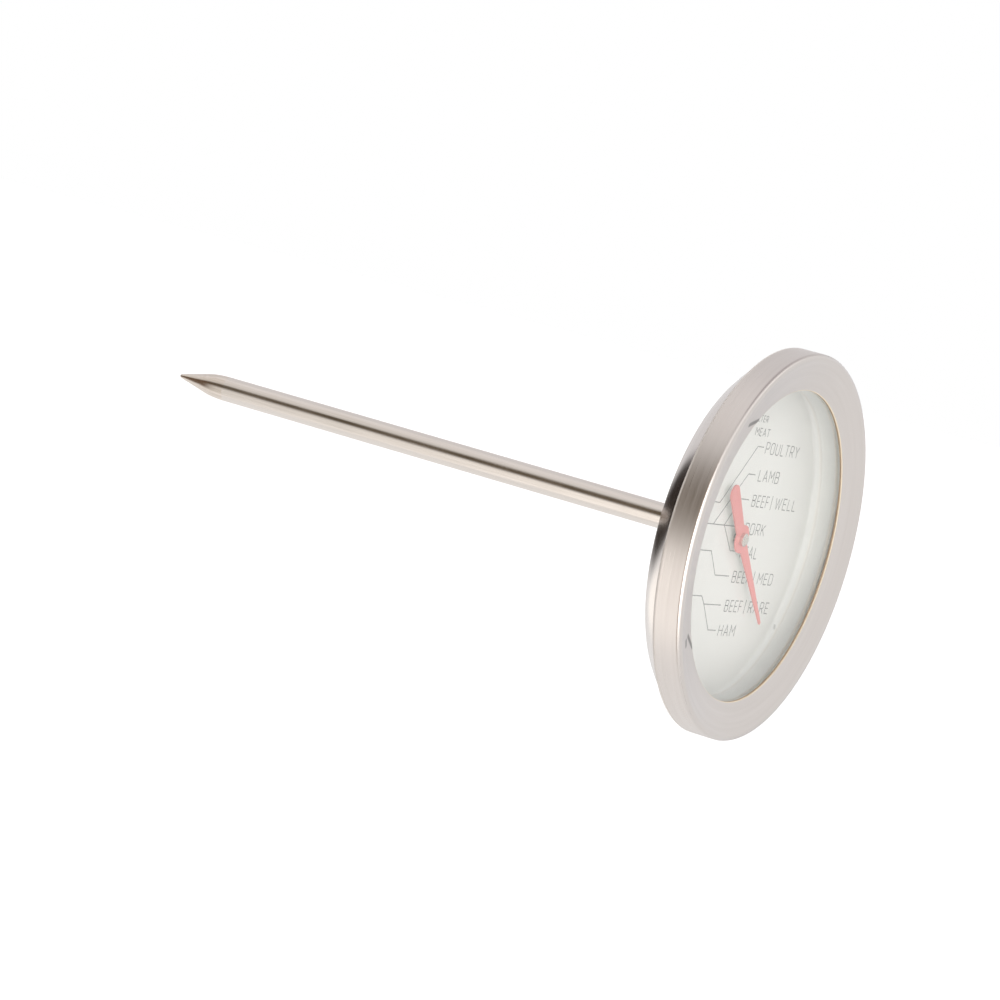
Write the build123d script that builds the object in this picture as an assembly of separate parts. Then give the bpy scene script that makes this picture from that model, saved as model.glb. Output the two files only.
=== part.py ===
from build123d import *
import math
import os

# Dial meat thermometer with a fixed stem.
# Frame: the stem's axis is Y and the probe points along +Y. The dial faces -Y, with its twelve o'clock at +Z.
# The origin is on the axis, in the plane of the case back's flat middle, where the stem leaves the case.
# Every turned piece is an outline of (radius, y) points revolved about Y. Millimetres throughout.

# Bezel and window
BEZEL_RADIUS = 35.0
BEZEL_FRONT_Y = -12.4
BEZEL_SKIRT = 5.4  # front plane to the skirt's rear edge
BEZEL_SHEET = 0.45
BEZEL_CORNER = 0.8  # outside rounding between face and skirt
SKIRT_EDGE_ROUNDING = 0.25
WINDOW_EDGE_ROUNDING = 0.12
WINDOW_RADIUS = 28.2
WINDOW_DEPTH = 1.65  # how far the face slopes in from the rim to the window

# Case pan
PAN_WALL = 0.5
PAN_RIM_Y = -10.2
PAN_WALL_END = 0.46  # how far inside the skirt's edge the wall turns in to the shoulder
PAN_WALL_ROUNDING = 0.8
SHOULDER_END_RADIUS = 30.1
SHOULDER_END_Y = -2.8
SHOULDER_BULGE = 0.21  # how far the shoulder's middle stands out from a straight slope
SHOULDER_ROUNDING = 1.5
BACK_FLAT_RADIUS = 11.0
RECESS_RADIUS = 5.8  # round hollow in the flat middle that takes the bushing's flange
RECESS_DEPTH = 1.2
RECESS_ROUNDING = 0.3
PRESS_GAP = 0.03  # left between curved faces that are pressed together

# Lens and gasket
LENS_THICKNESS = 1.6
LENS_FRONT_Y = -10.05
LENS_EDGE_CHAMFER = 0.2
GASKET_INNER_RADIUS = 28.8

# Dial
DIAL_Y = -4.2  # printed face
DIAL_SHEET = 0.4
DIAL_FLAT_RADIUS = 29.8
DIAL_RIM_RADIUS = 32.3
DIAL_FLANGE_RADIUS = 33.4
DIAL_FOLD = 0.7
DIAL_RIM_ROUNDING = 0.2
DIAL_HOLE_RADIUS = 0.9

# Stem
STEM_RADIUS = 2.33
STEM_WALL = 0.35
STEM_TOP_Y = -3.3
STEM_NECK_RADIUS = 2.15  # the end that sits in the bushing is turned down a little
STEM_STEP_GAP = 0.2  # bare neck between the bushing's boss and the stem's full thickness
TUBE_END_Y = 104.3
TIP_Y = 115.3
TIP_NOSE_RADIUS = 0.4
TIP_HALF_ANGLE = 14.0  # degrees, of the ground cone
TIP_CONE_LENGTH = 6.0  # from the point to where the cone starts to round into the stem
TIP_PLUG_LENGTH = 3.5

# Bushing that joins stem and case
BUSHING_NECK_RADIUS = 3.2
BUSHING_FLANGE_RADIUS = 5.0
BUSHING_FLANGE = 0.8
BUSHING_BOSS_RADIUS = 3.4
BUSHING_BOSS_END_Y = 3.0
BUSHING_EDGE = 0.3  # rounding of the flange's and boss's outer edges
SEAL_THICKNESS = 0.3
SEAL_RADIUS = 4.8
WASHER_THICKNESS = 0.35
WASHER_RADIUS = 5.2
NUT_THICKNESS = 1.2
NUT_ACROSS_FLATS = 8.6

# Pointer, at rest near room temperature
POINTER_CLOCKWISE = 133.0  # degrees of the tip past twelve o'clock
POINTER_SHEET = 0.3
POINTER_Y = -5.2  # underside of the hub disc
POINTER_DISC_RADIUS = 2.55
POINTER_BEND_RADIUS = 1.42  # where each arm starts to rise from the disc
POINTER_TIP_LENGTH = 21.8
POINTER_TAIL_LENGTH = 13.2
POINTER_ROOT_WIDTH = 2.4
POINTER_TIP_WIDTH = 0.5
POINTER_TAIL_WIDTH = 3.1
POINTER_LIFT = 1.7  # degrees that each arm rises from the hub
SHAFT_RADIUS = 0.4
RUNNING_GAP = 0.05
HUB_RADIUS = 1.1
HUB_LENGTH = 0.7
RIVET_RADIUS = 0.75
CAP_RADIUS = 1.2
CAP_HEIGHT = 1.05
CAP_DOME_RISE = 0.455
SHAFT_IN_CAP = 0.325  # how far the shaft's end reaches into the cap

# Shaft run and bimetal coil
GUIDE_LENGTH = 2.0
GUIDE_STARTS = {"upper_shaft_guide": -0.6, "middle_shaft_guide": 31.0, "lower_shaft_guide": 62.0}
STOP_RADIUS = 1.0
STOP_LENGTH = 1.0
STOP_GAP = 0.15
COLLAR_RADIUS = 1.5
COLLAR_LENGTH = 3.0
COLLAR_NECK_RADIUS = 1.0
COLLAR_LIP = 1.0  # length of the collar's thicker lower end
COIL_TOP_Y = 67.0
COIL_END_Y = 97.0
COIL_RADIUS = 1.45
COIL_STRIP_WIDTH = 1.1
COIL_STRIP_THICKNESS = 0.25
COIL_PITCH = 1.6
COIL_END_GAP = 0.05
ANCHOR_LENGTH = 3.5

tube_bore = STEM_RADIUS - STEM_WALL
skirt_end_y = BEZEL_FRONT_Y + BEZEL_SKIRT
pan_radius = BEZEL_RADIUS - BEZEL_SHEET - PRESS_GAP
recess_inside_y = -RECESS_DEPTH - PAN_WALL
washer_front_y = recess_inside_y - WASHER_THICKNESS
pointer_top_y = POINTER_Y - POINTER_SHEET


def turned(points):
    """A solid of revolution about Y from a closed outline of (radius, y) points."""
    outline = make_face(Polyline(*points, close=True))
    return revolve(outline, Axis.Y)


def ring(inner, outer, low_y, high_y):
    """A plain tube section about Y."""
    return turned([(inner, low_y), (outer, low_y), (outer, high_y), (inner, high_y)])


def rounded(face, places):
    """The face with the corner at each given (radius, y) rounded by its radius."""
    for (r, y), radius in places:
        corner = face.vertices().sort_by_distance((r, y, 0))[0]
        face = fillet(corner, radius)
    return face


def save(shape, name):
    """Writes one piece under its own name."""
    shape.label = name
    export_step(shape, f"parts/{name}.step")


def shifted(line, distance):
    """The two ends of a line of (radius, y) points, moved to its left by distance."""
    (r0, y0), (r1, y1) = line
    length = math.hypot(r1 - r0, y1 - y0)
    dr = -(y1 - y0) / length * distance
    dy = (r1 - r0) / length * distance
    return (r0 + dr, y0 + dy), (r1 + dr, y1 + dy)


def radius_on(line, y):
    """The radius where a line of (radius, y) points reaches y."""
    (r0, y0), (r1, y1) = line
    return r0 + (r1 - r0) * (y - y0) / (y1 - y0)


def y_on(line, radius):
    """The y where a line of (radius, y) points reaches a radius."""
    (r0, y0), (r1, y1) = line
    return y0 + (y1 - y0) * (radius - r0) / (r1 - r0)


# The bezel's sloping face, from the window's edge out to the rim, and its underside.
face_line = ((WINDOW_RADIUS, BEZEL_FRONT_Y + WINDOW_DEPTH), (BEZEL_RADIUS - BEZEL_CORNER, BEZEL_FRONT_Y))
under_line = shifted(face_line, BEZEL_SHEET)


def bezel_ring():
    """Pressed sheet ring: a face that slopes in to the window, and a skirt over the pan."""
    skirt_inner = BEZEL_RADIUS - BEZEL_SHEET
    corner = (BEZEL_RADIUS, y_on(face_line, BEZEL_RADIUS))
    inner_corner = (skirt_inner, y_on(under_line, skirt_inner))
    points = [
        face_line[0],
        corner,
        (BEZEL_RADIUS, skirt_end_y),
        (skirt_inner, skirt_end_y),
        inner_corner,
        (WINDOW_RADIUS, y_on(under_line, WINDOW_RADIUS)),
    ]
    face = make_face(Polyline(*points, close=True))
    skirt_edge = (BEZEL_RADIUS, skirt_end_y)
    edges = [(corner, BEZEL_CORNER), (skirt_edge, SKIRT_EDGE_ROUNDING), (face_line[0], WINDOW_EDGE_ROUNDING)]
    return revolve(rounded(face, edges), Axis.Y)


def case_back():
    """Drawn pan: a wall inside the bezel, a gently curved shoulder and a dished, recessed back."""
    wall_end = (pan_radius, skirt_end_y - PAN_WALL_END)
    shoulder_end = (SHOULDER_END_RADIUS, SHOULDER_END_Y)
    middle = ((wall_end[0] + shoulder_end[0]) / 2, (wall_end[1] + shoulder_end[1]) / 2)
    bulge = shifted((middle, wall_end), SHOULDER_BULGE)[0]
    back_edge = (BACK_FLAT_RADIUS, 0)
    recess_mouth = (RECESS_RADIUS, 0)
    recess_floor = (RECESS_RADIUS, -RECESS_DEPTH)
    below = PAN_RIM_Y - 2 * PAN_WALL
    outline = [
        Polyline((0, below), (pan_radius, below), wall_end),
        ThreePointArc(wall_end, bulge, shoulder_end),
        Polyline(shoulder_end, back_edge, recess_mouth, recess_floor, (0, -RECESS_DEPTH), (0, below)),
    ]
    outside = make_face(outline)
    edges = [(shoulder_end, SHOULDER_ROUNDING), (wall_end, PAN_WALL_ROUNDING), (recess_mouth, RECESS_ROUNDING)]
    outside = rounded(outside, edges)
    wall = outside - offset(outside, amount=-PAN_WALL, kind=Kind.INTERSECTION)
    # cut off at the rim, and open for the bushing
    hole = BUSHING_NECK_RADIUS + PRESS_GAP
    wall -= Pos(0, below) * Rectangle(2 * BEZEL_RADIUS, 2 * (PAN_RIM_Y - below))
    wall -= Rectangle(2 * hole, 4 * BEZEL_RADIUS)
    return revolve(wall, Axis.Y)


def lens():
    """Flat glass disc with a small chamfer on both edges."""
    back_y = LENS_FRONT_Y + LENS_THICKNESS
    edge = DIAL_FLANGE_RADIUS
    c = LENS_EDGE_CHAMFER
    return turned(
        [
            (0, LENS_FRONT_Y),
            (edge - c, LENS_FRONT_Y),
            (edge, LENS_FRONT_Y + c),
            (edge, back_y - c),
            (edge - c, back_y),
            (0, back_y),
        ]
    )


def lens_gasket():
    """Soft wedge ring that fills the space between the bezel's sloping face and the flat glass."""
    outer = DIAL_FLANGE_RADIUS
    return turned(
        [
            (GASKET_INNER_RADIUS, y_on(under_line, GASKET_INNER_RADIUS) + PRESS_GAP),
            (outer, y_on(under_line, outer) + PRESS_GAP),
            (outer, LENS_FRONT_Y - PRESS_GAP),
            (GASKET_INNER_RADIUS, LENS_FRONT_Y - PRESS_GAP),
        ]
    )


def dial_plate():
    """Printed dial pressed as a shallow cup. Its upright rim ends in a flange that carries the glass."""
    flange_y = LENS_FRONT_Y + LENS_THICKNESS + PRESS_GAP
    wall = ((DIAL_FLAT_RADIUS, DIAL_Y), (DIAL_RIM_RADIUS, flange_y))
    outer_wall = shifted(wall, DIAL_SHEET)
    under_y = DIAL_Y + DIAL_SHEET
    flange_under = flange_y + DIAL_SHEET
    fold = (DIAL_FLAT_RADIUS, DIAL_Y)
    outer_fold = (radius_on(outer_wall, under_y), under_y)
    points = [
        (DIAL_HOLE_RADIUS, DIAL_Y),
        fold,
        wall[1],
        (DIAL_FLANGE_RADIUS, flange_y),
        (DIAL_FLANGE_RADIUS, flange_under),
        (radius_on(outer_wall, flange_under), flange_under),
        outer_fold,
        (DIAL_HOLE_RADIUS, under_y),
    ]
    face = make_face(Polyline(*points, close=True))
    edges = [(fold, DIAL_FOLD), (outer_fold, DIAL_FOLD + DIAL_SHEET), (wall[1], DIAL_RIM_ROUNDING)]
    return revolve(rounded(face, edges), Axis.Y)


def stem_tube():
    """Thin drawn tube. Its upper end is turned down to fit the bushing."""
    step_y = BUSHING_BOSS_END_Y + STEM_STEP_GAP
    points = [
        (tube_bore, STEM_TOP_Y),
        (STEM_NECK_RADIUS, STEM_TOP_Y),
        (STEM_NECK_RADIUS, step_y),
        (STEM_RADIUS, step_y),
        (STEM_RADIUS, TUBE_END_Y),
        (tube_bore, TUBE_END_Y),
    ]
    return turned(points)


def stem_tip():
    """Ground point: a blunt nose, a straight cone and a rounded shoulder, with a plug pressed in the tube."""
    plug = tube_bore - PRESS_GAP
    plug_y = TUBE_END_Y - TIP_PLUG_LENGTH
    angle = math.radians(TIP_HALF_ANGLE)
    nose_y = TIP_Y - TIP_NOSE_RADIUS
    middle = (math.pi / 2 + angle) / 2
    nose_middle = (TIP_NOSE_RADIUS * math.cos(middle), nose_y + TIP_NOSE_RADIUS * math.sin(middle))
    nose_end = (TIP_NOSE_RADIUS * math.cos(angle), nose_y + TIP_NOSE_RADIUS * math.sin(angle))
    cone_y = TIP_Y - TIP_CONE_LENGTH
    cone_end = (nose_end[0] + (nose_end[1] - cone_y) * math.tan(angle), cone_y)
    shoulder = (STEM_RADIUS, TUBE_END_Y)
    outline = [
        ThreePointArc((0, TIP_Y), nose_middle, nose_end),
        Line(nose_end, cone_end),
        Bezier(cone_end, (STEM_RADIUS, cone_y - (STEM_RADIUS - cone_end[0]) / math.tan(angle)), shoulder),
        Polyline(shoulder, (plug, TUBE_END_Y), (plug, plug_y), (0, plug_y), (0, TIP_Y)),
    ]
    return revolve(make_face(outline), Axis.Y)


def stem_bushing():
    """Flanged bushing: a neck through the case back, a flange in its recess and a boss that grips the stem."""
    bore = STEM_NECK_RADIUS + PRESS_GAP
    flange_start = SEAL_THICKNESS - RECESS_DEPTH
    flange_end = flange_start + BUSHING_FLANGE
    outer_edge = (BUSHING_FLANGE_RADIUS, flange_end)
    boss_edge = (BUSHING_BOSS_RADIUS, BUSHING_BOSS_END_Y)
    points = [
        (bore, STEM_TOP_Y),
        (BUSHING_NECK_RADIUS, STEM_TOP_Y),
        (BUSHING_NECK_RADIUS, flange_start),
        (BUSHING_FLANGE_RADIUS, flange_start),
        outer_edge,
        (BUSHING_BOSS_RADIUS, flange_end),
        boss_edge,
        (bore, BUSHING_BOSS_END_Y),
    ]
    face = make_face(Polyline(*points, close=True))
    face = rounded(face, [(outer_edge, BUSHING_EDGE), (boss_edge, BUSHING_EDGE)])
    return revolve(face, Axis.Y)


def bushing_nut():
    """Thin hexagon nut on the bushing's neck inside the case."""
    outline = RegularPolygon(NUT_ACROSS_FLATS / 2, 6, major_radius=False)
    outline -= Circle(BUSHING_NECK_RADIUS + PRESS_GAP)
    return extrude(Plane((0, washer_front_y, 0), x_dir=(1, 0, 0), z_dir=(0, -1, 0)) * outline, NUT_THICKNESS)


def shaft_guide(start_y):
    """Bush that centres the turning shaft in the stem."""
    return ring(SHAFT_RADIUS + RUNNING_GAP, tube_bore - PRESS_GAP, start_y, start_y + GUIDE_LENGTH)


def pointer_shaft():
    """Straight wire from the coil's collar up through the dial into the pointer's cap."""
    top = pointer_top_y - SHAFT_IN_CAP
    return turned([(0, top), (SHAFT_RADIUS, top), (SHAFT_RADIUS, COIL_TOP_Y), (0, COIL_TOP_Y)])


def coil_collar():
    """Ferrule fixed on the shaft's lower end, whose lower face carries the coil."""
    bore = SHAFT_RADIUS + PRESS_GAP
    start = COIL_TOP_Y - COLLAR_LENGTH
    step = COIL_TOP_Y - COLLAR_LIP
    points = [
        (bore, start),
        (COLLAR_NECK_RADIUS, start),
        (COLLAR_NECK_RADIUS, step),
        (COLLAR_RADIUS, step),
        (COLLAR_RADIUS, COIL_TOP_Y),
        (bore, COIL_TOP_Y),
    ]
    return turned(points)


def bimetal_coil():
    """Strip wound as a helix with its width along the stem. Its ends face the collar and the anchor."""
    first = COIL_TOP_Y + COIL_END_GAP + COIL_STRIP_WIDTH / 2
    last = COIL_END_Y - COIL_END_GAP - COIL_STRIP_WIDTH / 2
    path = Helix(pitch=COIL_PITCH, height=last - first, radius=COIL_RADIUS)
    start = path @ 0
    section_plane = Plane(origin=start, x_dir=(1, 0, 0), z_dir=path % 0)
    section = section_plane * Rectangle(COIL_STRIP_THICKNESS, COIL_STRIP_WIDTH)
    coil = sweep(section, path=path, is_frenet=True)
    return Pos(0, first, 0) * Rot(X=-90) * coil


def pointer():
    """Sheet pointer: a hub disc, a rounded tail that widens outward, and a tip that tapers to a narrow end."""
    half_root = POINTER_ROOT_WIDTH / 2
    half_tail = POINTER_TAIL_WIDTH / 2
    tail_round = POINTER_TAIL_LENGTH - half_tail
    # drawn flat with the tip along +X, then each arm is bent up about the hub disc's edge
    tip_arm = Polyline(
        (0, half_root),
        (POINTER_TIP_LENGTH, POINTER_TIP_WIDTH / 2),
        (POINTER_TIP_LENGTH, -POINTER_TIP_WIDTH / 2),
        (0, -half_root),
        close=True,
    )
    tail_side = Polyline((0, -half_root), (-tail_round, -half_tail))
    tail_end = ThreePointArc((-tail_round, -half_tail), (-POINTER_TAIL_LENGTH, 0), (-tail_round, half_tail))
    tail_back = Polyline((-tail_round, half_tail), (0, half_root), (0, -half_root))
    bend = POINTER_BEND_RADIUS

    def arm(outline, side):
        """One arm cut off at its bend, turned up by the lift and joined to the flat disc."""
        blank = extrude(make_face(outline), POINTER_SHEET)
        room = 2 * POINTER_TIP_LENGTH
        beyond = Pos(side * (bend + room / 2), 0, 0) * Box(room, room, room)
        near = Pos(side * bend / 2, 0, 0) * Box(bend, room, room)
        raised = Pos(-side * bend, 0, 0) * (blank & beyond)
        raised = Pos(side * bend, 0, 0) * Rot(Y=-side * POINTER_LIFT) * raised
        return (blank & near) + raised

    disc = extrude(Circle(POINTER_DISC_RADIUS), POINTER_SHEET)
    flat = disc + arm(tip_arm, 1) + arm([tail_side, tail_end, tail_back], -1)
    flat -= Cylinder(RIVET_RADIUS + PRESS_GAP, 4 * POINTER_SHEET)
    # the drawing's +X becomes up on the dial and its +Z faces the reader; then it turns clockwise as read
    upright = Plane(origin=(0, POINTER_Y, 0), x_dir=(0, 0, 1), z_dir=(0, -1, 0)) * flat
    return upright.rotate(Axis((0, 0, 0), (0, 1, 0)), POINTER_CLOCKWISE)


def pointer_hub():
    """Brass boss under the pointer, with a rivet shank through it."""
    bore = SHAFT_RADIUS + PRESS_GAP
    points = [
        (bore, POINTER_Y + HUB_LENGTH),
        (HUB_RADIUS, POINTER_Y + HUB_LENGTH),
        (HUB_RADIUS, POINTER_Y),
        (RIVET_RADIUS, POINTER_Y),
        (RIVET_RADIUS, pointer_top_y),
        (bore, pointer_top_y),
    ]
    return turned(points)


def pointer_cap():
    """Domed pin cap over the shaft's end."""
    bore = SHAFT_RADIUS + PRESS_GAP
    shaft_top = pointer_top_y - SHAFT_IN_CAP - PRESS_GAP
    dome_radius = (CAP_RADIUS**2 + CAP_DOME_RISE**2) / (2 * CAP_DOME_RISE)
    middle = math.asin(CAP_RADIUS / dome_radius) / 2
    crown = (0, pointer_top_y - CAP_HEIGHT)
    dome_middle = (dome_radius * math.sin(middle), crown[1] + dome_radius * (1 - math.cos(middle)))
    dome_edge = (CAP_RADIUS, crown[1] + CAP_DOME_RISE)
    under = Polyline(
        crown,
        (0, shaft_top),
        (bore, shaft_top),
        (bore, pointer_top_y),
        (CAP_RADIUS, pointer_top_y),
        dome_edge,
    )
    return revolve(make_face([under, ThreePointArc(dome_edge, dome_middle, crown)]), Axis.Y)


os.makedirs("parts", exist_ok=True)

save(bezel_ring(), "bezel_ring")
save(case_back(), "case_back")
save(lens(), "lens")
save(lens_gasket(), "lens_gasket")
save(dial_plate(), "dial_plate")

save(stem_tube(), "stem_tube")
save(stem_tip(), "stem_tip")
save(stem_bushing(), "stem_bushing")
neck_bore = BUSHING_NECK_RADIUS + PRESS_GAP
save(ring(neck_bore, SEAL_RADIUS, -RECESS_DEPTH, SEAL_THICKNESS - RECESS_DEPTH), "bushing_seal")
save(ring(neck_bore, WASHER_RADIUS, washer_front_y, recess_inside_y), "bushing_washer")
save(bushing_nut(), "bushing_nut")

save(pointer_shaft(), "pointer_shaft")
for name, start_y in GUIDE_STARTS.items():
    save(shaft_guide(start_y), name)
stop_start = GUIDE_STARTS["upper_shaft_guide"] + GUIDE_LENGTH + STOP_GAP
save(ring(SHAFT_RADIUS + PRESS_GAP, STOP_RADIUS, stop_start, stop_start + STOP_LENGTH), "shaft_stop_collar")
save(coil_collar(), "coil_collar")
save(bimetal_coil(), "bimetal_coil")
save(ring(0, tube_bore - PRESS_GAP, COIL_END_Y, COIL_END_Y + ANCHOR_LENGTH), "coil_anchor")

save(pointer(), "pointer")
save(pointer_hub(), "pointer_hub")
save(pointer_cap(), "pointer_cap")
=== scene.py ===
import math

import bmesh
import bpy
from mathutils import Matrix, Vector


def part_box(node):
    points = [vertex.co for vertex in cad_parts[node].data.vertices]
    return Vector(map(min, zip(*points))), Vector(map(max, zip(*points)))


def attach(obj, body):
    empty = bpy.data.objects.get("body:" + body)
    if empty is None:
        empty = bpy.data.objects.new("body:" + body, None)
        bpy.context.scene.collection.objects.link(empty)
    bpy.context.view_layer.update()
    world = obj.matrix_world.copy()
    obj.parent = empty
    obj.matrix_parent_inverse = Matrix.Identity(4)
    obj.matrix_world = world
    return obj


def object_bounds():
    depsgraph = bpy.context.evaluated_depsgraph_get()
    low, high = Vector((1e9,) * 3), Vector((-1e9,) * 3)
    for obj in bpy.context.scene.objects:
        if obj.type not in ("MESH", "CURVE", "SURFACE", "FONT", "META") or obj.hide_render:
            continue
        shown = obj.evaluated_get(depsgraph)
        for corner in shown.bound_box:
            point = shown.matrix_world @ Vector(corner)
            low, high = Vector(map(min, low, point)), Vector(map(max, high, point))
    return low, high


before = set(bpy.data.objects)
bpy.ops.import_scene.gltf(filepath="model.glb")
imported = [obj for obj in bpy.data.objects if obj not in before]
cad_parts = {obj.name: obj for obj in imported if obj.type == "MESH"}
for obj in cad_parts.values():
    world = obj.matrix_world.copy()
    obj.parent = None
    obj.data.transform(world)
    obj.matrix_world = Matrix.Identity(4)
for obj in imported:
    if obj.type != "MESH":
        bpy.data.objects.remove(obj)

# Dial meat thermometer. The stem runs along +Y, the dial faces -Y and its twelve o'clock is +Z.
MM = 0.001
cad_low, cad_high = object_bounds()
scene = bpy.context.scene

# ---------------------------------------------------------------- camera
CAMERA_AIM = Vector((-17.58, 33.73, -4.04)) * MM
CAMERA_AZIMUTH = -62.92  # degrees, 0 looks along +Y
CAMERA_ELEVATION = 4.14
CAMERA_DISTANCE = 669.6 * MM
CAMERA_ROLL = 14.37
CAMERA_LENS = 136.8
CAMERA_SENSOR = 36.0


def add_camera():
    """The camera at the photograph's angle, tilted about its own axis as the photograph is."""
    data = bpy.data.cameras.new("camera")
    data.lens = CAMERA_LENS
    data.sensor_width = CAMERA_SENSOR
    data.clip_start = 0.01
    data.clip_end = 20
    camera = bpy.data.objects.new("camera", data)
    scene.collection.objects.link(camera)
    turn = math.radians(CAMERA_AZIMUTH)
    rise = math.radians(CAMERA_ELEVATION)
    back = Vector((math.sin(turn) * math.cos(rise), -math.cos(turn) * math.cos(rise), math.sin(rise)))
    aim = (-back).to_track_quat("-Z", "Y").to_matrix().to_4x4()
    roll = Matrix.Rotation(math.radians(CAMERA_ROLL), 4, "Z")
    camera.matrix_world = Matrix.Translation(CAMERA_AIM + back * CAMERA_DISTANCE) @ aim @ roll
    scene.camera = camera


# ---------------------------------------------------------------- light
def direction(around, lean):
    """A unit vector at an angle about Y, from +X towards +Z, with its Y part given."""
    flat = math.sqrt(1 - lean * lean)
    return Vector((flat * math.cos(math.radians(around)), lean, flat * math.sin(math.radians(around))))


class Tree:
    """Short calls for building a node tree."""

    def __init__(self, tree):
        self.tree = tree
        self.nodes = tree.nodes
        self.nodes.clear()

    def add(self, kind, **settings):
        node = self.nodes.new(kind)
        for key, value in settings.items():
            setattr(node, key, value)
        return node

    def put(self, socket, value):
        """Links a socket, or sets a number, vector or colour."""
        if isinstance(value, bpy.types.NodeSocket):
            self.tree.links.new(value, socket)
        elif isinstance(value, (tuple, list)) and len(value) == 3 and socket.type == "RGBA":
            socket.default_value = (*value, 1)
        else:
            socket.default_value = value

    def math(self, operation, a, b=None, c=None):
        node = self.add("ShaderNodeMath", operation=operation)
        for index, value in enumerate((a, b, c)):
            if value is not None:
                self.put(node.inputs[index], value)
        return node.outputs[0]

    def vector(self, operation, a, b=None):
        node = self.add("ShaderNodeVectorMath", operation=operation)
        self.put(node.inputs[0], a)
        if b is not None:
            self.put(node.inputs[1], b)
        return node.outputs["Value"] if operation in ("DOT_PRODUCT", "LENGTH") else node.outputs[0]

    def combine(self, x, y, z):
        node = self.add("ShaderNodeCombineXYZ")
        for index, value in enumerate((x, y, z)):
            self.put(node.inputs[index], value)
        return node.outputs[0]

    def spread(self, value, low, high, to_low=0.0, to_high=1.0, smooth=False):
        """Maps a value from one span to another, held at both ends."""
        node = self.add("ShaderNodeMapRange", interpolation_type="SMOOTHSTEP" if smooth else "LINEAR")
        for index, number in enumerate((value, low, high, to_low, to_high)):
            self.put(node.inputs[index], number)
        return node.outputs[0]

    def mix(self, share, a, b, blend="MIX"):
        node = self.add("ShaderNodeMix", data_type="RGBA", blend_type=blend)
        self.put(node.inputs[0], share)
        self.put(node.inputs[6], a)
        self.put(node.inputs[7], b)
        return node.outputs[2]

    def noise(self, vector, scale, detail=2.0, roughness=0.5, w=None):
        node = self.add("ShaderNodeTexNoise", noise_dimensions="3D" if w is None else "4D")
        self.put(node.inputs["Vector"], vector)
        node.inputs["Scale"].default_value = scale
        node.inputs["Detail"].default_value = detail
        node.inputs["Roughness"].default_value = roughness
        if w is not None:
            self.put(node.inputs["W"], w)
        return node.outputs[0]


# bands of the studio that run round the Y axis: angle about Y, full and outer half widths in degrees,
# the Y parts where it starts, is full, is last full and ends, and its colour
STUDIO_PANELS = (
    (45, 10, 70, -0.1, 0.3, 2.0, 3.0, (0.78, 0.77, 0.78)),
    (100, 5, 32, -0.1, 0.3, 2.0, 3.0, (0.93, 0.91, 0.91)),
    (285, 35, 60, -0.1, 0.3, 2.0, 3.0, (0.97, 0.965, 0.96)),
    (213, 18, 42, -0.2, 0.2, 2.0, 3.0, (1.64, 1.60, 1.55)),
    (162, 8, 34, -0.15, 0.2, 2.0, 3.0, (0.10, 0.080, 0.055)),
    (124, 16, 28, 0.43, 0.475, 2.0, 3.0, (0.80, 0.77, 0.74)),
    (212, 16, 44, 0.42, 0.47, 2.0, 3.0, (0.76, 0.745, 0.715)),
    (188, 26, 54, 0.66, 0.80, 2.0, 3.0, (0.13, 0.075, 0.04)),
    (195, 46, 62, -0.08, 0.00, 0.24, 0.32, (0.30, 0.205, 0.13)),
    (200, 27, 47, -0.95, -0.82, -0.16, -0.08, (2.20, 2.15, 2.05)),
    (188, 25, 45, -0.60, -0.46, -0.16, -0.08, (3.50, 3.42, 3.30)),
    (357, 12, 28, -0.30, -0.12, 0.30, 0.45, (0.83, 0.855, 0.90)),
    (85, 25, 50, -0.75, -0.60, -0.30, -0.15, (1.40, 1.39, 1.37)),
)
# cards seen from the object: centre, long direction, half length, half width, softness of the edge, colour
STUDIO_CARDS = (
    ((0.15, -0.12, 0.95), (1, 0, 0), 0.62, 0.36, 0.6, (0.46, 0.43, 0.44)),
    ((0.27, 0.96, 0.05), (0.90, -0.27, -0.42), 0.37, 0.17, 0.22, (0.03, 0.022, 0.018)),
    ((0.36, 0.89, -0.28), (0.93, -0.36, 0.0), 0.25, 0.08, 0.4, (1.30, 1.27, 1.22)),
)
STUDIO_BASE = (0.875, 0.875, 0.875)


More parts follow.
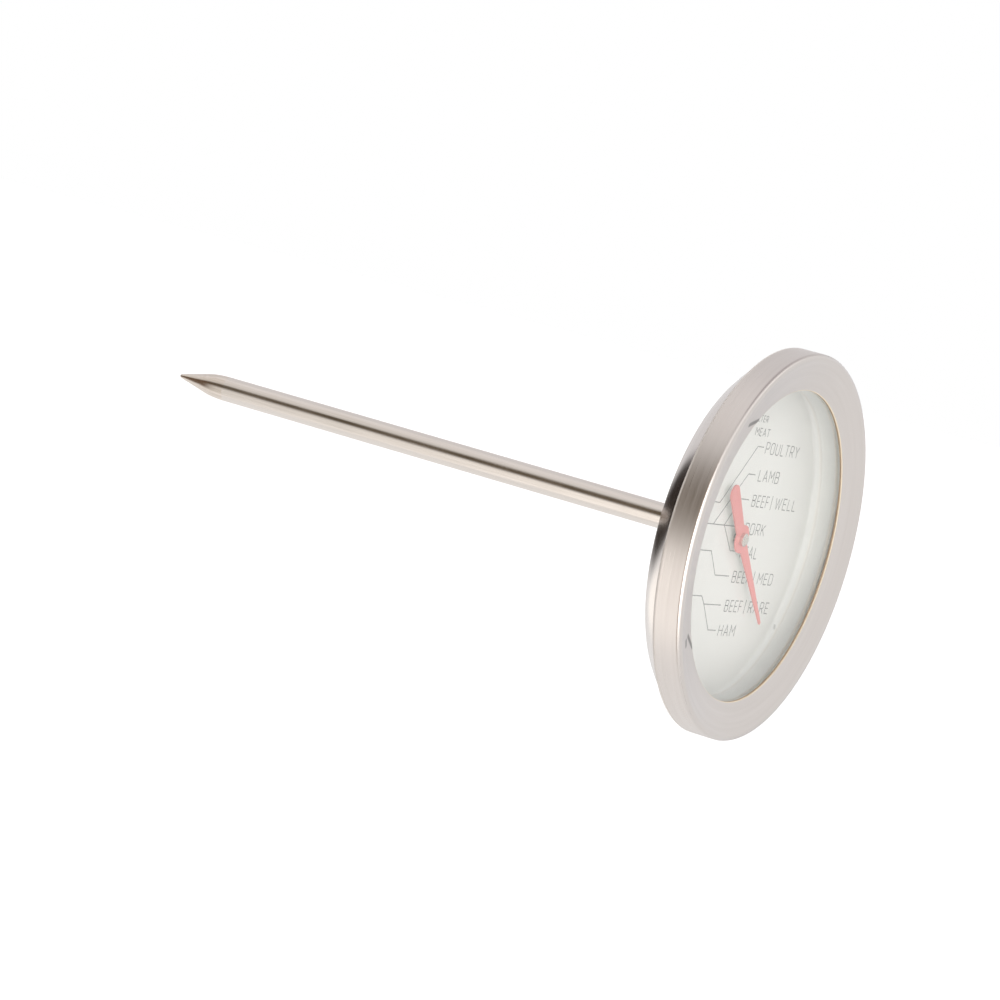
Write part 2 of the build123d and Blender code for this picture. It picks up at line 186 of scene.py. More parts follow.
def add_world():
    """A white studio with darker and brighter bands and cards. The camera itself sees plain white."""
    world = bpy.data.worlds.new("studio")
    scene.world = world
    world.use_nodes = True
    t = Tree(world.node_tree)
    way = t.add("ShaderNodeTexCoord").outputs["Generated"]
    split = t.add("ShaderNodeSeparateXYZ")
    t.put(split.inputs[0], way)
    flat = t.vector("NORMALIZE", t.combine(split.outputs[0], 0.0, split.outputs[2]))
    colour = STUDIO_BASE
    for around, inner, outer, start, full, last, end, tone in STUDIO_PANELS:
        near = t.vector("DOT_PRODUCT", flat, direction(around, 0))
        share = t.spread(near, math.cos(math.radians(outer)), math.cos(math.radians(inner)), smooth=True)
        share = t.math("MULTIPLY", share, t.spread(split.outputs[1], start, full, smooth=True))
        share = t.math("MULTIPLY", share, t.spread(split.outputs[1], last, end, 1.0, 0.0, smooth=True))
        colour = t.mix(share, colour, tone)
    for centre, run, length, width, edge, tone in STUDIO_CARDS:
        aim = Vector(centre).normalized()
        across = aim.cross(Vector(run)).normalized()
        u = t.math("DIVIDE", t.vector("DOT_PRODUCT", way, across.cross(aim)), length)
        v = t.math("DIVIDE", t.vector("DOT_PRODUCT", way, across), width)
        away = t.math("SQRT", t.math("ADD", t.math("MULTIPLY", u, u), t.math("MULTIPLY", v, v)))
        share = t.spread(away, 1 - edge, 1 + edge, 1.0, 0.0, smooth=True)
        ahead = t.math("GREATER_THAN", t.vector("DOT_PRODUCT", way, aim), 0.0)
        colour = t.mix(t.math("MULTIPLY", share, ahead), colour, tone)
    seen = t.add("ShaderNodeLightPath").outputs["Is Camera Ray"]
    background = t.add("ShaderNodeBackground")
    t.put(background.inputs["Color"], t.mix(seen, colour, (1.0, 1.0, 1.0)))
    out = t.add("ShaderNodeOutputWorld")
    t.put(out.inputs["Surface"], background.outputs[0])


KEY_PLACE = Vector((-0.15, -0.53, 0.10))  # in metres, as are the floor's numbers
KEY_SIZE = 0.12
KEY_POWER = 0.30


def add_key_light():
    """One soft disc in front of the dial, a little left and above, which gives the pointer its shadow."""
    data = bpy.data.lights.new("key", "AREA")
    data.shape = "DISK"
    data.size = KEY_SIZE
    data.energy = KEY_POWER
    light = bpy.data.objects.new("key", data)
    scene.collection.objects.link(light)
    light.location = KEY_PLACE
    light.rotation_euler = (Vector((0, 0, 0)) - light.location).to_track_quat("-Z", "Y").to_euler()
    light.visible_glossy = False


FLOOR_DROP = 0.05
FLOOR_HALF = 4.0
FLOOR_GLOW = 0.45  # keeps the floor as white as the photograph's


def add_floor():
    """A plain pale floor below the object."""
    height = cad_low.z - FLOOR_DROP
    mesh = bpy.data.meshes.new("floor")
    corners = [(x, y, height) for x, y in ((-1, -1), (1, -1), (1, 1), (-1, 1))]
    mesh.from_pydata([(x * FLOOR_HALF, y * FLOOR_HALF, z) for x, y, z in corners], [], [(0, 1, 2, 3)])
    floor = bpy.data.objects.new("floor", mesh)
    scene.collection.objects.link(floor)
    material = bpy.data.materials.new("floor_paper")
    material.use_nodes = True
    t = Tree(material.node_tree)
    shader = t.add("ShaderNodeBsdfPrincipled")
    t.put(shader.inputs["Base Color"], (0.9, 0.9, 0.9))
    shader.inputs["Roughness"].default_value = 0.9
    t.put(shader.inputs["Emission Color"], (1.0, 1.0, 1.0))
    shader.inputs["Emission Strength"].default_value = FLOOR_GLOW
    out = t.add("ShaderNodeOutputMaterial")
    t.put(out.inputs["Surface"], shader.outputs[0])
    mesh.materials.append(material)
    floor.visible_glossy = False
    floor.visible_diffuse = False


# ---------------------------------------------------------------- materials
class Finish(Tree):
    """A principled material in progress."""

    def __init__(self, name, metallic=0.0):
        self.material = bpy.data.materials.new(name)
        self.material.use_nodes = True
        super().__init__(self.material.node_tree)
        self.shader = self.add("ShaderNodeBsdfPrincipled")
        self.shader.inputs["Metallic"].default_value = metallic
        self.out = self.add("ShaderNodeOutputMaterial")
        self.put(self.out.inputs["Surface"], self.shader.outputs[0])
        self.place = self.add("ShaderNodeTexCoord").outputs["Object"]
        split = self.add("ShaderNodeSeparateXYZ")
        self.put(split.inputs[0], self.place)
        self.x, self.y, self.z = split.outputs

    def radius(self):
        """Distance from the Y axis, in metres."""
        return self.vector("LENGTH", self.combine(self.x, 0.0, self.z))

    def around(self, share):
        """The unit direction from the Y axis, times a number: it changes slowly along a turned grain."""
        away = self.vector("NORMALIZE", self.combine(self.x, 0.0, self.z))
        return self.vector("MULTIPLY", away, (share,) * 3)

    def turned_grain(self, scale, length, detail=3.0, w_shift=0.0):
        """Noise drawn out round the Y axis: fine across the grain, long along it."""
        level = self.math("ADD", self.math("MULTIPLY", self.y, scale), w_shift)
        across = self.math("MULTIPLY", self.radius(), scale)
        place = self.vector("ADD", self.around(length), self.combine(0.0, level, 0.0))
        return self.noise(place, 1.0, detail, 0.6, w=across)

    def drawn_grain(self, scale, length, detail=3.0):
        """Noise drawn out along Y."""
        stretch = ((self.x, scale), (self.y, length), (self.z, scale))
        place = self.combine(*[self.math("MULTIPLY", part, number) for part, number in stretch])
        return self.noise(place, 1.0, detail, 0.6)

    def bump(self, height, depth_mm, strength=1.0):
        """Raises the surface by the height, given its depth in millimetres."""
        node = self.add("ShaderNodeBump")
        node.inputs["Strength"].default_value = strength
        node.inputs["Distance"].default_value = depth_mm * MM
        self.put(node.inputs["Height"], height)
        self.put(self.shader.inputs["Normal"], node.outputs[0])

    def colour(self, value):
        self.put(self.shader.inputs["Base Color"], value)

    def rough(self, value):
        self.put(self.shader.inputs["Roughness"], value)

    def tangent(self, strength, turn=0.0):
        """Stretches highlights across a grain that runs round the Y axis."""
        node = self.add("ShaderNodeTangent", direction_type="RADIAL", axis="Y")
        self.shader.inputs["Anisotropic"].default_value = strength
        self.shader.inputs["Anisotropic Rotation"].default_value = turn
        self.put(self.shader.inputs["Tangent"], node.outputs[0])


STEEL = (0.785, 0.735, 0.705)
STEEL_DARK = (0.71, 0.66, 0.625)
GRAIN_LENGTH = 2.0  # the lower, the longer a lathe's lines run round the axis
FINE_GRAIN = 6000.0  # lines across a small turned part
SOFT_GRAIN = 0.35  # the grain's strength on a face that was brushed lightly


def brushed_turned(
    name, light, dark, rough_low, rough_high, grain=5200.0, stretch=0.6, depth=0.0018, soft_radius=0.0
):
    """Steel finished on a lathe, so that its grain runs round the Y axis and is fainter inside a radius."""
    m = Finish(name, metallic=1.0)
    fine = m.turned_grain(grain, GRAIN_LENGTH)
    if soft_radius:
        strength = m.spread(m.radius(), soft_radius, soft_radius * 1.02, SOFT_GRAIN, 1.0)
        fine = m.math("ADD", m.math("MULTIPLY", m.math("SUBTRACT", fine, 0.5), strength), 0.5)
    broad = m.turned_grain(grain * 0.22, GRAIN_LENGTH * 0.6, 2.0, 3.1)
    cloud = m.noise(m.place, 60.0, 3.0)
    tone = m.math("ADD", m.math("MULTIPLY", fine, 0.45), m.math("MULTIPLY", broad, 0.55))
    tone = m.spread(tone, 0.32, 0.68)
    m.colour(m.mix(m.spread(cloud, 0.3, 0.7, 0.0, 0.35), m.mix(tone, dark, light), STEEL))
    unevenness = m.math("ADD", fine, m.math("MULTIPLY", cloud, 0.3))
    m.rough(m.spread(unevenness, 0.35, 0.95, rough_low, rough_high))
    m.bump(fine, depth)
    m.tangent(stretch)
    return m


def scuffed(m, places, width, tone, under):
    """Darkens a colour along short marks, each given by its two ends, with a width, all in millimetres."""
    for start, end in places:
        first = Vector(start) * MM
        run = (Vector(end) - Vector(start)) * MM
        from_start = m.vector("SUBTRACT", m.place, first)
        along = m.math("DIVIDE", m.vector("DOT_PRODUCT", from_start, run), run.length_squared)
        along = m.math("MINIMUM", m.math("MAXIMUM", along, 0.0), 1.0)
        nearest = m.vector("MULTIPLY", m.combine(along, along, along), run)
        away = m.vector("LENGTH", m.vector("SUBTRACT", from_start, nearest))
        under = m.mix(m.spread(away, width * MM * 0.3, width * MM, 0.85, 0.0, smooth=True), under, tone)
    return under


# three painted dark reflections on the bezel's face, each given by its two ends in millimetres
RIM_PAINTED_REFLECTIONS = (
    ((-23.4, -11.57, 20.6), (-18.5, -10.8, 21.55)),
    ((-25.5, -11.34, -16.5), (-21.4, -10.78, -18.5)),
    ((-26.6, -11.73, -17.3), (-26.2, -11.75, -18.1)),
)
PAINTED_REFLECTION_WIDTH = 0.6
PAINTED_REFLECTION_TONE = (0.16, 0.14, 0.13)

# places on the bezel in millimetres, each pair being where a change of surface starts and ends
FACE_RADIUS = 34.2  # the face inside it is brushed more lightly than the side
CUT_RADII = (28.26, 28.34)  # the cut edge at the window
CUT_LEVELS = (-10.62, -10.48)  # from the cut edge's bright front to its browned back
REAR_LEVELS = (-7.44, -7.34)  # the rear edge, where a pale highlight is painted
CUT_BRIGHT = (0.88, 0.79, 0.66)
CUT_BROWNED = (0.55, 0.41, 0.29)
# painted highlight colour for the bezel's rear edge
REAR_PAINTED_HIGHLIGHT = (0.95, 0.92, 0.89)


def bezel_steel():
    """Lathe-brushed steel with a browned cut edge at the window, a painted highlight along its rear edge and
    three painted dark reflections on its face.
    """
    m = brushed_turned(
        "bezel_brushed_steel", STEEL, STEEL_DARK, 0.24, 0.38, depth=0.0026, soft_radius=FACE_RADIUS * MM
    )
    plain = m.shader.inputs["Base Color"].links[0].from_socket
    cut = m.spread(m.radius(), CUT_RADII[0] * MM, CUT_RADII[1] * MM, 1.0, 0.0)
    browned = m.mix(m.spread(m.y, CUT_LEVELS[0] * MM, CUT_LEVELS[1] * MM), CUT_BRIGHT, CUT_BROWNED)
    # painted highlight: the rear edge is painted pale where its rounding catches the light
    rear_highlight_share = m.spread(m.y, REAR_LEVELS[0] * MM, REAR_LEVELS[1] * MM)
    with_rear_highlight = m.mix(m.math("MULTIPLY", rear_highlight_share, 0.8), m.mix(cut, plain, browned), REAR_PAINTED_HIGHLIGHT)
    # painted dark reflections: three short dark marks on the face
    m.colour(scuffed(m, RIM_PAINTED_REFLECTIONS, PAINTED_REFLECTION_WIDTH, PAINTED_REFLECTION_TONE, with_rear_highlight))
    rough = m.shader.inputs["Roughness"].links[0].from_socket
    m.rough(m.math("ADD", rough, m.math("MULTIPLY", m.math("ADD", cut, rear_highlight_share), 0.35)))
    return m.material


DRAWN_DEPTH = 0.0016


def drawn_steel(name, light, dark, rough_low, rough_high, grain=5200.0, length=60.0):
    """Steel tube drawn through a die: fine lines along it and faint handling marks."""
    m = Finish(name, metallic=1.0)
    fine = m.drawn_grain(grain, length)
    marks = m.turned_grain(2600.0, 3.0, 4.0)
    cloud = m.noise(m.place, 110.0, 4.0)
    tone = m.math("ADD", m.math("MULTIPLY", fine, 0.7), m.math("MULTIPLY", cloud, 0.3))
    m.colour(m.mix(m.spread(tone, 0.35, 0.65), dark, light))
    wear = m.spread(marks, 0.62, 0.75, 0.0, 0.06)
    m.rough(m.math("ADD", m.spread(cloud, 0.3, 0.7, rough_low, rough_high), wear))
    m.bump(m.math("ADD", fine, m.math("MULTIPLY", marks, 0.4)), DRAWN_DEPTH)
    m.tangent(0.35, 0.25)
    return m.material


def turned_metal(*args, **settings):
    """A plain lathe-finished metal."""
    return brushed_turned(*args, **settings).material


DIAL_RIM_RADII = (29.3, 30.1)  # where the dial's flat ends and its upright rim begins, in millimetres, and where the rim's painted shade fades in
# a small printer's mark at the foot of that rim, given by its two ends
DIAL_MARK = (((25.97, -4.74, -15.3), (25.75, -4.9, -15.85)),)
DIAL_MARK_WIDTH = 0.3
DIAL_MARK_TONE = (0.45, 0.45, 0.44)
PEEL_DEPTH = 0.003


def stoved_paint(name, light, dark, rough_low, rough_high, speck=900.0, primer=None, rim_painted_shade=None):
    """Slightly uneven colour and a fine orange-peel surface, with or without a primed back or painted shade on
    a rim.
    """
    m = Finish(name)
    cloud = m.noise(m.place, 45.0, 4.0)
    peel = m.noise(m.place, speck, 3.0)
    paint = m.mix(m.spread(cloud, 0.3, 0.7), dark, light)
    if primer:
        behind = m.add("ShaderNodeSeparateXYZ")
        m.put(behind.inputs[0], m.add("ShaderNodeTexCoord").outputs["Normal"])
        paint = m.mix(m.spread(behind.outputs[1], 0.3, 0.5), paint, primer)
    if rim_painted_shade:
        # painted shade: the upright rim and its fold are painted greyer, as they lie in the bezel's shadow
        rim_shade_share = m.spread(m.radius(), DIAL_RIM_RADII[0] * MM, DIAL_RIM_RADII[1] * MM, smooth=True)
        paint = m.mix(rim_shade_share, paint, rim_painted_shade)
        paint = scuffed(m, DIAL_MARK, DIAL_MARK_WIDTH, DIAL_MARK_TONE, paint)
    m.colour(paint)
    m.rough(m.spread(m.noise(m.place, 240.0, 3.0), 0.3, 0.7, rough_low, rough_high))
    m.bump(peel, PEEL_DEPTH, 0.5)
    return m.material


def rubber(name, light, dark):
    """A matt, slightly mottled elastomer."""
    m = Finish(name)
    m.colour(m.mix(m.spread(m.noise(m.place, 420.0, 4.0), 0.3, 0.7), dark, light))
    m.rough(m.spread(m.noise(m.place, 900.0, 2.0), 0.3, 0.7, 0.55, 0.75))
    m.bump(m.noise(m.place, 2600.0, 2.0), 0.01, 0.4)
    return m.material


HEAD_ON_SHINE = 0.04  # glass's reflection seen head on
GLASS_SMEARED = (0.975, 0.976, 0.970)
GLASS_CLEAR = (0.990, 0.990, 0.985)


def glass(name):
    """A thin clear pane, with a reflection that grows at a low angle."""
    material = bpy.data.materials.new(name)
    material.use_nodes = True
    t = Tree(material.node_tree)
    place = t.add("ShaderNodeTexCoord").outputs["Object"]
    smear = t.noise(place, 70.0, 4.0)
    film = t.noise(place, 900.0, 2.0)
    clear = t.add("ShaderNodeBsdfTransparent")
    t.put(clear.inputs["Color"], t.mix(t.spread(smear, 0.3, 0.7), GLASS_CLEAR, GLASS_SMEARED))
    shine = t.add("ShaderNodeBsdfGlossy")
    t.put(shine.inputs["Color"], (1.0, 1.0, 1.0))
    touched = t.math("ADD", smear, t.math("MULTIPLY", film, 0.4))
    t.put(shine.inputs["Roughness"], t.spread(touched, 0.4, 1.0, 0.01, 0.06))
    facing = t.add("ShaderNodeLayerWeight").outputs["Facing"]
    both = t.add("ShaderNodeMixShader")
    grazing = t.math("POWER", facing, 5.0)
    t.put(both.inputs[0], t.math("MULTIPLY_ADD", grazing, 1 - HEAD_ON_SHINE, HEAD_ON_SHINE))
    t.put(both.inputs[1], clear.outputs[0])
    t.put(both.inputs[2], shine.outputs[0])
    out = t.add("ShaderNodeOutputMaterial")
    t.put(out.inputs["Surface"], both.outputs[0])
    return material


INK_DARK = (0.15, 0.15, 0.15)
INK_LIGHT = (0.26, 0.26, 0.26)


def ink(name):
    """Grey printing ink, a little uneven."""
    m = Finish(name)
    m.colour(m.mix(m.spread(m.noise(m.place, 2200.0, 3.0), 0.3, 0.7), INK_DARK, INK_LIGHT))
    m.rough(m.spread(m.noise(m.place, 1400.0, 2.0), 0.3, 0.7, 0.42, 0.6))
    m.bump(m.noise(m.place, 4000.0, 2.0), 0.002, 0.4)
    return m.material


PRIMER = (0.72, 0.72, 0.70)
TURNED_STEEL = ((0.80, 0.76, 0.70), (0.70, 0.66, 0.60))
TURNED_BRASS = ((0.80, 0.62, 0.34), (0.68, 0.50, 0.25))

# each call gives the material's name, its light and dark tone, and its lowest and highest roughness
MATERIALS = {
    "bezel_ring": bezel_steel(),
    "case_back": turned_metal(
        "case_polished_steel", STEEL, (0.75, 0.70, 0.665), 0.13, 0.19, stretch=0.3, depth=0.0005
    ),
    "stem_tube": drawn_steel("stem_drawn_steel", (0.80, 0.745, 0.70), (0.74, 0.68, 0.63), 0.18, 0.26),
    "stem_tip": drawn_steel(
        "tip_ground_steel", (0.80, 0.73, 0.67), (0.70, 0.62, 0.55), 0.18, 0.28, 4200.0, 90.0
    ),
    "lens": glass("lens_glass"),
    "lens_gasket": rubber("gasket_silicone", (0.86, 0.86, 0.84), (0.80, 0.80, 0.78)),
    # the dial's upright rim carries a painted shade
    "dial_plate": stoved_paint(
        "dial_satin_white", (0.87, 0.87, 0.85), (0.84, 0.84, 0.82), 0.38, 0.5, rim_painted_shade=(0.76, 0.77, 0.765)
    ),
    "pointer": stoved_paint(
        "pointer_red_paint", (0.86, 0.29, 0.28), (0.80, 0.25, 0.24), 0.34, 0.46, 1500.0, primer=PRIMER
    ),
}
for node in ("stem_bushing", "bushing_washer", "bushing_nut", "pointer_cap"):
    MATERIALS[node] = turned_metal(f"{node}_steel", *TURNED_STEEL, 0.2, 0.32, FINE_GRAIN)
for node in (
    "upper_shaft_guide",
    "middle_shaft_guide",
    "lower_shaft_guide",
    "shaft_stop_collar",
    "coil_collar",
    "coil_anchor",
):
    MATERIALS[node] = turned_metal(f"{node}_brass", *TURNED_BRASS, 0.22, 0.36, FINE_GRAIN)
MATERIALS["pointer_hub"] = turned_metal(
    "pointer_hub_brass", (0.88, 0.76, 0.52), (0.78, 0.64, 0.40), 0.45, 0.6, FINE_GRAIN
)
MATERIALS["bushing_seal"] = rubber("seal_rubber", (0.05, 0.05, 0.05), (0.025, 0.025, 0.025))
MATERIALS["pointer_shaft"] = drawn_steel(
    "shaft_wire_steel", (0.74, 0.73, 0.72), (0.62, 0.61, 0.60), 0.2, 0.3
)
MATERIALS["bimetal_coil"] = turned_metal(
    "bimetal_strip", (0.72, 0.66, 0.58), (0.56, 0.50, 0.43), 0.25, 0.4, 5000.0
)

for name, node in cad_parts.items():
    node.data.materials.clear()
    node.data.materials.append(MATERIALS[name])


# ---------------------------------------------------------------- dial print
CORNER_STEPS = 5


def corner(cx, cz, r, start, end):
    """Points of a rounded corner, angles in degrees from +X towards +Z."""
    turn = [math.radians(start + (end - start) * k / CORNER_STEPS) for k in range(CORNER_STEPS + 1)]
    return [(cx + r * math.cos(a), cz + r * math.sin(a)) for a in turn]


def rounded_box(w, r, low=0.0, high=1.0):
    """A closed stroke of a given width between two heights, with rounded corners."""
    points = corner(r, high - r, r, 90, 180) + corner(r, low + r, r, 180, 270)
    points += corner(w - r, low + r, r, 270, 360) + corner(w - r, high - r, r, 0, 90)
    return points + points[:1]


def bowl(w, low, high, r):
    """The right-hand bowl of a P, R or B."""
    return [(0, high)] + corner(w - r, high - r, r, 90, 0) + corner(w - r, low + r, r, 0, -90) + [(0, low)]


# Letters are single strokes in a box of height 1. An entry is (width, strokes), a stroke a list of points.
LETTERS = {
    "A": (0.8, [[(0, 0), (0.4, 1), (0.8, 0)], [(0.13, 0.32), (0.67, 0.32)]]),
    "B": (0.7, [[(0, 0), (0, 1)], bowl(0.66, 0.52, 1, 0.2), bowl(0.7, 0, 0.52, 0.22)]),
    "C": (0.7, [[(0.7, 0.8)] + corner(0.44, 0.74, 0.26, 0, 90)[1:] + corner(0.26, 0.74, 0.26, 90, 180)
                + corner(0.26, 0.26, 0.26, 180, 270) + corner(0.44, 0.26, 0.26, 270, 360)]),
    "D": (0.72, [[(0, 0), (0, 1)], bowl(0.72, 0, 1, 0.3)]),
    "E": (0.6, [[(0.6, 1), (0, 1), (0, 0), (0.6, 0)], [(0, 0.5), (0.54, 0.5)]]),
    "F": (0.58, [[(0.58, 1), (0, 1), (0, 0)], [(0, 0.5), (0.52, 0.5)]]),
    "H": (0.72, [[(0, 0), (0, 1)], [(0.72, 0), (0.72, 1)], [(0, 0.5), (0.72, 0.5)]]),
    "K": (0.68, [[(0, 0), (0, 1)], [(0.66, 1), (0, 0.42)], [(0.2, 0.6), (0.68, 0)]]),
    "L": (0.58, [[(0, 1), (0, 0), (0.58, 0)]]),
    "M": (0.88, [[(0, 0), (0, 1), (0.44, 0.4), (0.88, 1), (0.88, 0)]]),
    "O": (0.74, [rounded_box(0.74, 0.24)]),
    "P": (0.68, [[(0, 0), (0, 1)], bowl(0.68, 0.42, 1, 0.22)]),
    "R": (0.7, [[(0, 0), (0, 1)], bowl(0.68, 0.44, 1, 0.22), [(0.36, 0.44), (0.7, 0)]]),
    "T": (0.7, [[(0, 1), (0.7, 1)], [(0.35, 1), (0.35, 0)]]),
    "U": (0.72, [[(0, 1)] + corner(0.24, 0.24, 0.24, 180, 270) + corner(0.48, 0.24, 0.24, 270, 360)
                 + [(0.72, 1)]]),
    "V": (0.8, [[(0, 1), (0.4, 0), (0.8, 1)]]),
    "W": (1.12, [[(0, 1), (0.28, 0), (0.56, 0.9), (0.84, 0), (1.12, 1)]]),
    "Y": (0.76, [[(0, 1), (0.38, 0.48), (0.76, 1)], [(0.38, 0.48), (0.38, 0)]]),
    "0": (0.64, [rounded_box(0.64, 0.24)]),
    "5": (0.62, [[(0.58, 1), (0.04, 1), (0, 0.56), (0.4, 0.56)] + corner(0.38, 0.32, 0.24, 90, 0)[1:]
                 + corner(0.38, 0.24, 0.24, 0, -90) + [(0, 0)]]),
    "6": (0.64, [rounded_box(0.64, 0.22, 0.0, 0.58), [(0, 0.3), (0.06, 0.62), (0.42, 1)]]),
    "7": (0.62, [[(0, 1), (0.62, 1), (0.2, 0)]]),
    "8": (0.64, [rounded_box(0.64, 0.22, 0.0, 0.54), rounded_box(0.64, 0.2, 0.54, 1.0)]),
    "9": (0.64, [rounded_box(0.64, 0.22, 0.42, 1.0), [(0.64, 0.7), (0.58, 0.38), (0.22, 0)]]),
    "o": (0.3, [rounded_box(0.3, 0.14, 0.7, 1.0)]),
}
LETTER_GAP = 0.4  # between letters, as a share of their height

INK_THICKNESS = 0.02  # millimetres above the dial
INK_SUNK = 0.01  # and into its paint
SHARPEST = 0.4  # limits how far a ribbon's sharp corner reaches out


def ribbon(mesh, points, width, face_y):
    """One printed line as a thin closed ribbon. Points are (x, z) on the dial, in millimetres."""
    closed = points[0] == points[-1]
    if closed:
        points = points[:-1]
    count = len(points)
    flat = [Vector(p) for p in points]

    def side(a, b):
        run = (b - a).normalized()
        return Vector((-run.y, run.x))

    offsets = []
    for k in range(count):
        before = side(flat[k - 1], flat[k]) if closed or k > 0 else None
        after = side(flat[k], flat[(k + 1) % count]) if closed or k < count - 1 else None
        if before is None or after is None:
            offsets.append(before or after)
            continue
        middle = (before + after).normalized()
        offsets.append(middle / max(middle.dot(before), SHARPEST))
    rows = []
    for point, offset in zip(flat, offsets):
        row = []
        for shift, y in ((1, INK_SUNK), (-1, INK_SUNK), (-1, -INK_THICKNESS), (1, -INK_THICKNESS)):
            place = point + offset * shift * width / 2
            row.append(mesh.verts.new((place.x * MM, (face_y + y) * MM, place.y * MM)))
        rows.append(row)
    links = range(count) if closed else range(count - 1)
    for k in links:
        here, there = rows[k], rows[(k + 1) % count]
        for j in range(4):
            mesh.faces.new((here[j], here[(j + 1) % 4], there[(j + 1) % 4], there[j]))
    if not closed:
        mesh.faces.new(rows[0][::-1])
        mesh.faces.new(rows[-1])


def word(mesh, text, start, end, base, height, width, face_y):
    """A word whose first letter starts at one x and whose last ends at another."""
    gaps = LETTER_GAP * (len(text) - 1)
    natural = sum(LETTERS[letter][0] for letter in text) + gaps
    stretch = (end - start) / (natural * height)
    x = start
    for letter in text:
        own, strokes = LETTERS[letter]
        for stroke in strokes:
            ribbon(mesh, [(x + u * height * stretch, base + v * height) for u, v in stroke], width, face_y)
        x += (own + LETTER_GAP) * height * stretch


def print_piece(name, mesh):
    """Turns a bmesh into a printed piece that rides on the case."""
    bmesh.ops.recalc_face_normals(mesh, faces=mesh.faces)
    data = bpy.data.meshes.new(name)
    mesh.to_mesh(data)
    mesh.free()
    data.materials.append(INK)
    piece = bpy.data.objects.new(name, data)
    scene.collection.objects.link(piece)
    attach(piece, "case")


TEXT_HEIGHT = 2.0
TEXT_LINE = 0.17
BAR_REACH = 0.3  # how far the upright bar between two words passes their letters
LEADER_LINE = 0.16
SCALE_RADIUS = 20.0
DEGREES_PER_C = 2.27
ANGLE_AT_60 = 237.0


def on_scale(celsius, radius):
    """The point (x, z) on the dial for a temperature."""
    angle = math.radians(ANGLE_AT_60 + DEGREES_PER_C * (celsius - 60))
    return radius * math.sin(angle), radius * math.cos(angle)


# the dial's back is the node's highest y, and its printed face is one sheet nearer the glass
dial_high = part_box("dial_plate")[1]
DIAL_SHEET = 0.4
dial_face = dial_high.y / MM - DIAL_SHEET

# (middle of the letters, words as (text, start, end)) for each line of foods
FOODS = (
    (16.45, (("POULTRY", 3.0, 17.7),)),
    (11.45, (("LAMB", 3.0, 11.9),)),
    (6.85, (("BEEF", 3.0, 10.2), ("|", 11.5, 11.5), ("WELL", 13.4, 22.6))),
    (1.75, (("PORK", 3.0, 11.7),)),
    (-2.5, (("VEAL", 3.0, 11.0),)),
    (-7.05, (("BEEF", 3.0, 10.6), ("|", 12.3, 12.3), ("MED", 14.3, 20.8))),
    (-12.35, (("BEEF", 3.0, 10.3), ("|", 11.7, 11.7), ("RARE", 13.5, 22.2))),
    (-16.85, (("HAM", 3.0, 10.0),)),
)
# (text, start, end, base, height, line) of the small words at the dial's top
TITLES = (
    ("MEAT", -3.2, 2.85, 18.4, 1.35, 0.15),
    ("THERMOMETER", -12.6, 0.8, 20.9, 1.1, 0.13),
)


def dial_words():
    """The foods on the dial's right side and the words at its top."""
    mesh = bmesh.new()
    for middle, words in FOODS:
        for text, start, end in words:
            base = middle - TEXT_HEIGHT / 2
            if text == "|":
                bar = [(start, base - BAR_REACH), (start, base + TEXT_HEIGHT + BAR_REACH)]
                ribbon(mesh, bar, TEXT_LINE, dial_face)
            else:
                word(mesh, text, start, end, base, TEXT_HEIGHT, TEXT_LINE, dial_face)
    for text, start, end, base, height, line in TITLES:
        word(mesh, text, start, end, base, height, line, dial_face)
    print_piece("dial_words", mesh)


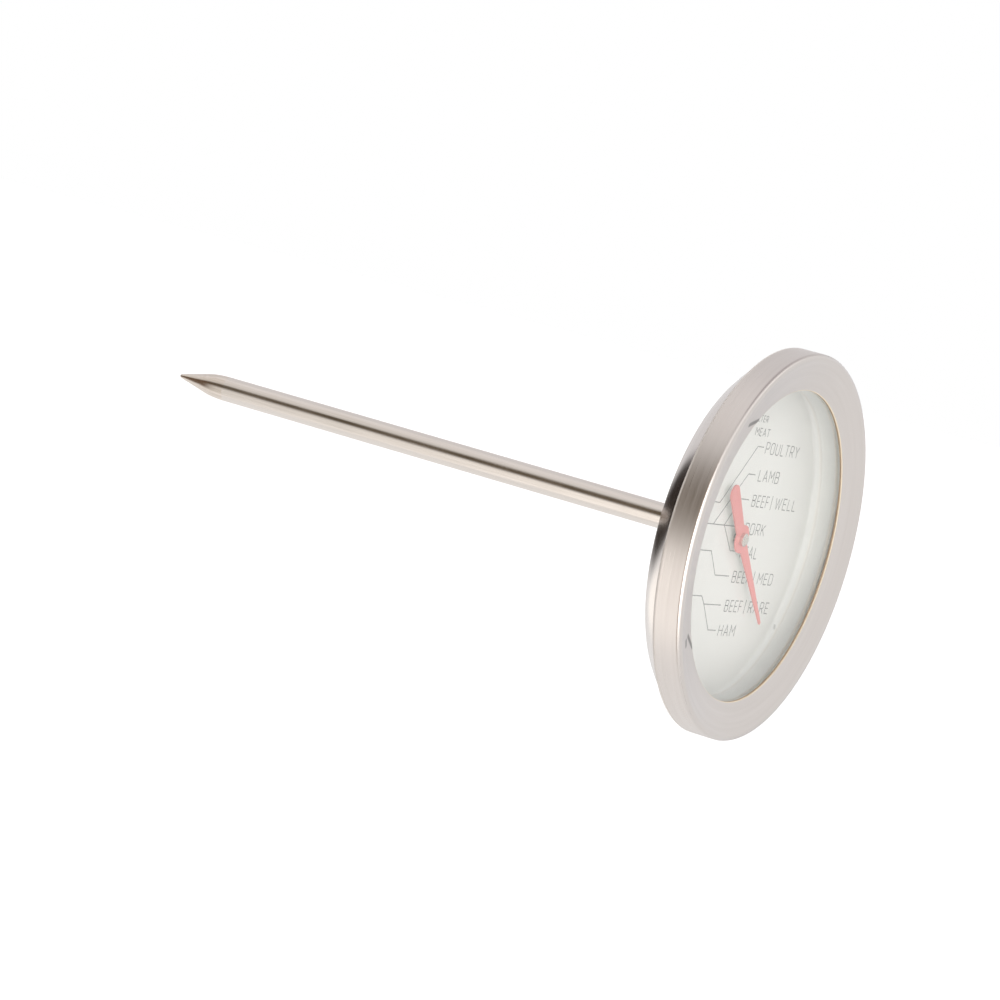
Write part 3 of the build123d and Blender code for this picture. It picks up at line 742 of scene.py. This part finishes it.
def dial_leaders():
    """The lines from the scale to the foods."""
    mesh = bmesh.new()
    poultry = on_scale(82, SCALE_RADIUS)
    pork = on_scale(77, SCALE_RADIUS)
    medium = on_scale(71, SCALE_RADIUS)
    rare = on_scale(60, SCALE_RADIUS)
    lines = (
        (poultry, (-10.5, poultry[1]), (-0.63, 16.5), (1.9, 16.5)),
        (pork, (1.5, pork[1])),
        ((-11.0, pork[1]), (-1.6, 11.45), (1.4, 11.45)),
        ((-6.3, pork[1]), (-2.0, 6.92), (1.4, 6.92)),
        ((-6.2, pork[1]), (-1.0, -2.45), (1.4, -2.45)),
        (medium, (-8.86, medium[1]), (-4.7, -7.0), (1.34, -7.0)),
        (rare, (-7.9, rare[1]), (-6.2, -12.3), (1.13, -12.3)),
        ((-6.2, -12.3), (-1.65, -16.9), (1.76, -16.9)),
    )
    for line in lines:
        ribbon(mesh, list(line), LEADER_LINE, dial_face)
    print_piece("dial_leaders", mesh)


SCALE_LOW = 50
SCALE_HIGH = 90
ARC_STEPS = 60
ARC_LINE = 0.22
TICK_LINE = 0.15
LONG_TICK = 2.0  # at every tenth degree
MIDDLE_TICK = 1.5  # at every fifth
SHORT_TICK = 0.9
NUMBER_RADIUS = 24.6
NUMBER_HEIGHT = 1.7
NUMBER_HALF_WIDTH = 1.25
NUMBER_LINE = 0.17
UNIT = ("oC", -17.4, -15.4, 17.0, 1.6, 0.16)  # as in TITLES


def dial_scale():
    """A generic scale in degrees Celsius along the dial's left side."""
    mesh = bmesh.new()
    span = SCALE_HIGH - SCALE_LOW
    arc = [on_scale(SCALE_LOW + span * k / ARC_STEPS, SCALE_RADIUS) for k in range(ARC_STEPS + 1)]
    ribbon(mesh, arc, ARC_LINE, dial_face)
    for celsius in range(SCALE_LOW, SCALE_HIGH + 1):
        tall = LONG_TICK if celsius % 10 == 0 else MIDDLE_TICK if celsius % 5 == 0 else SHORT_TICK
        tick = [on_scale(celsius, SCALE_RADIUS), on_scale(celsius, SCALE_RADIUS + tall)]
        ribbon(mesh, tick, TICK_LINE, dial_face)
    for celsius in range(SCALE_LOW, SCALE_HIGH + 1, 10):
        x, z = on_scale(celsius, NUMBER_RADIUS)
        left = x - NUMBER_HALF_WIDTH
        right = x + NUMBER_HALF_WIDTH
        word(mesh, str(celsius), left, right, z - NUMBER_HEIGHT / 2, NUMBER_HEIGHT, NUMBER_LINE, dial_face)
    word(mesh, *UNIT, dial_face)
    print_piece("dial_scale", mesh)


INK = ink("dial_grey_ink")
dial_words()
dial_leaders()
dial_scale()

add_camera()
add_world()
add_key_light()
add_floor()
scene.view_settings.view_transform = "Standard"
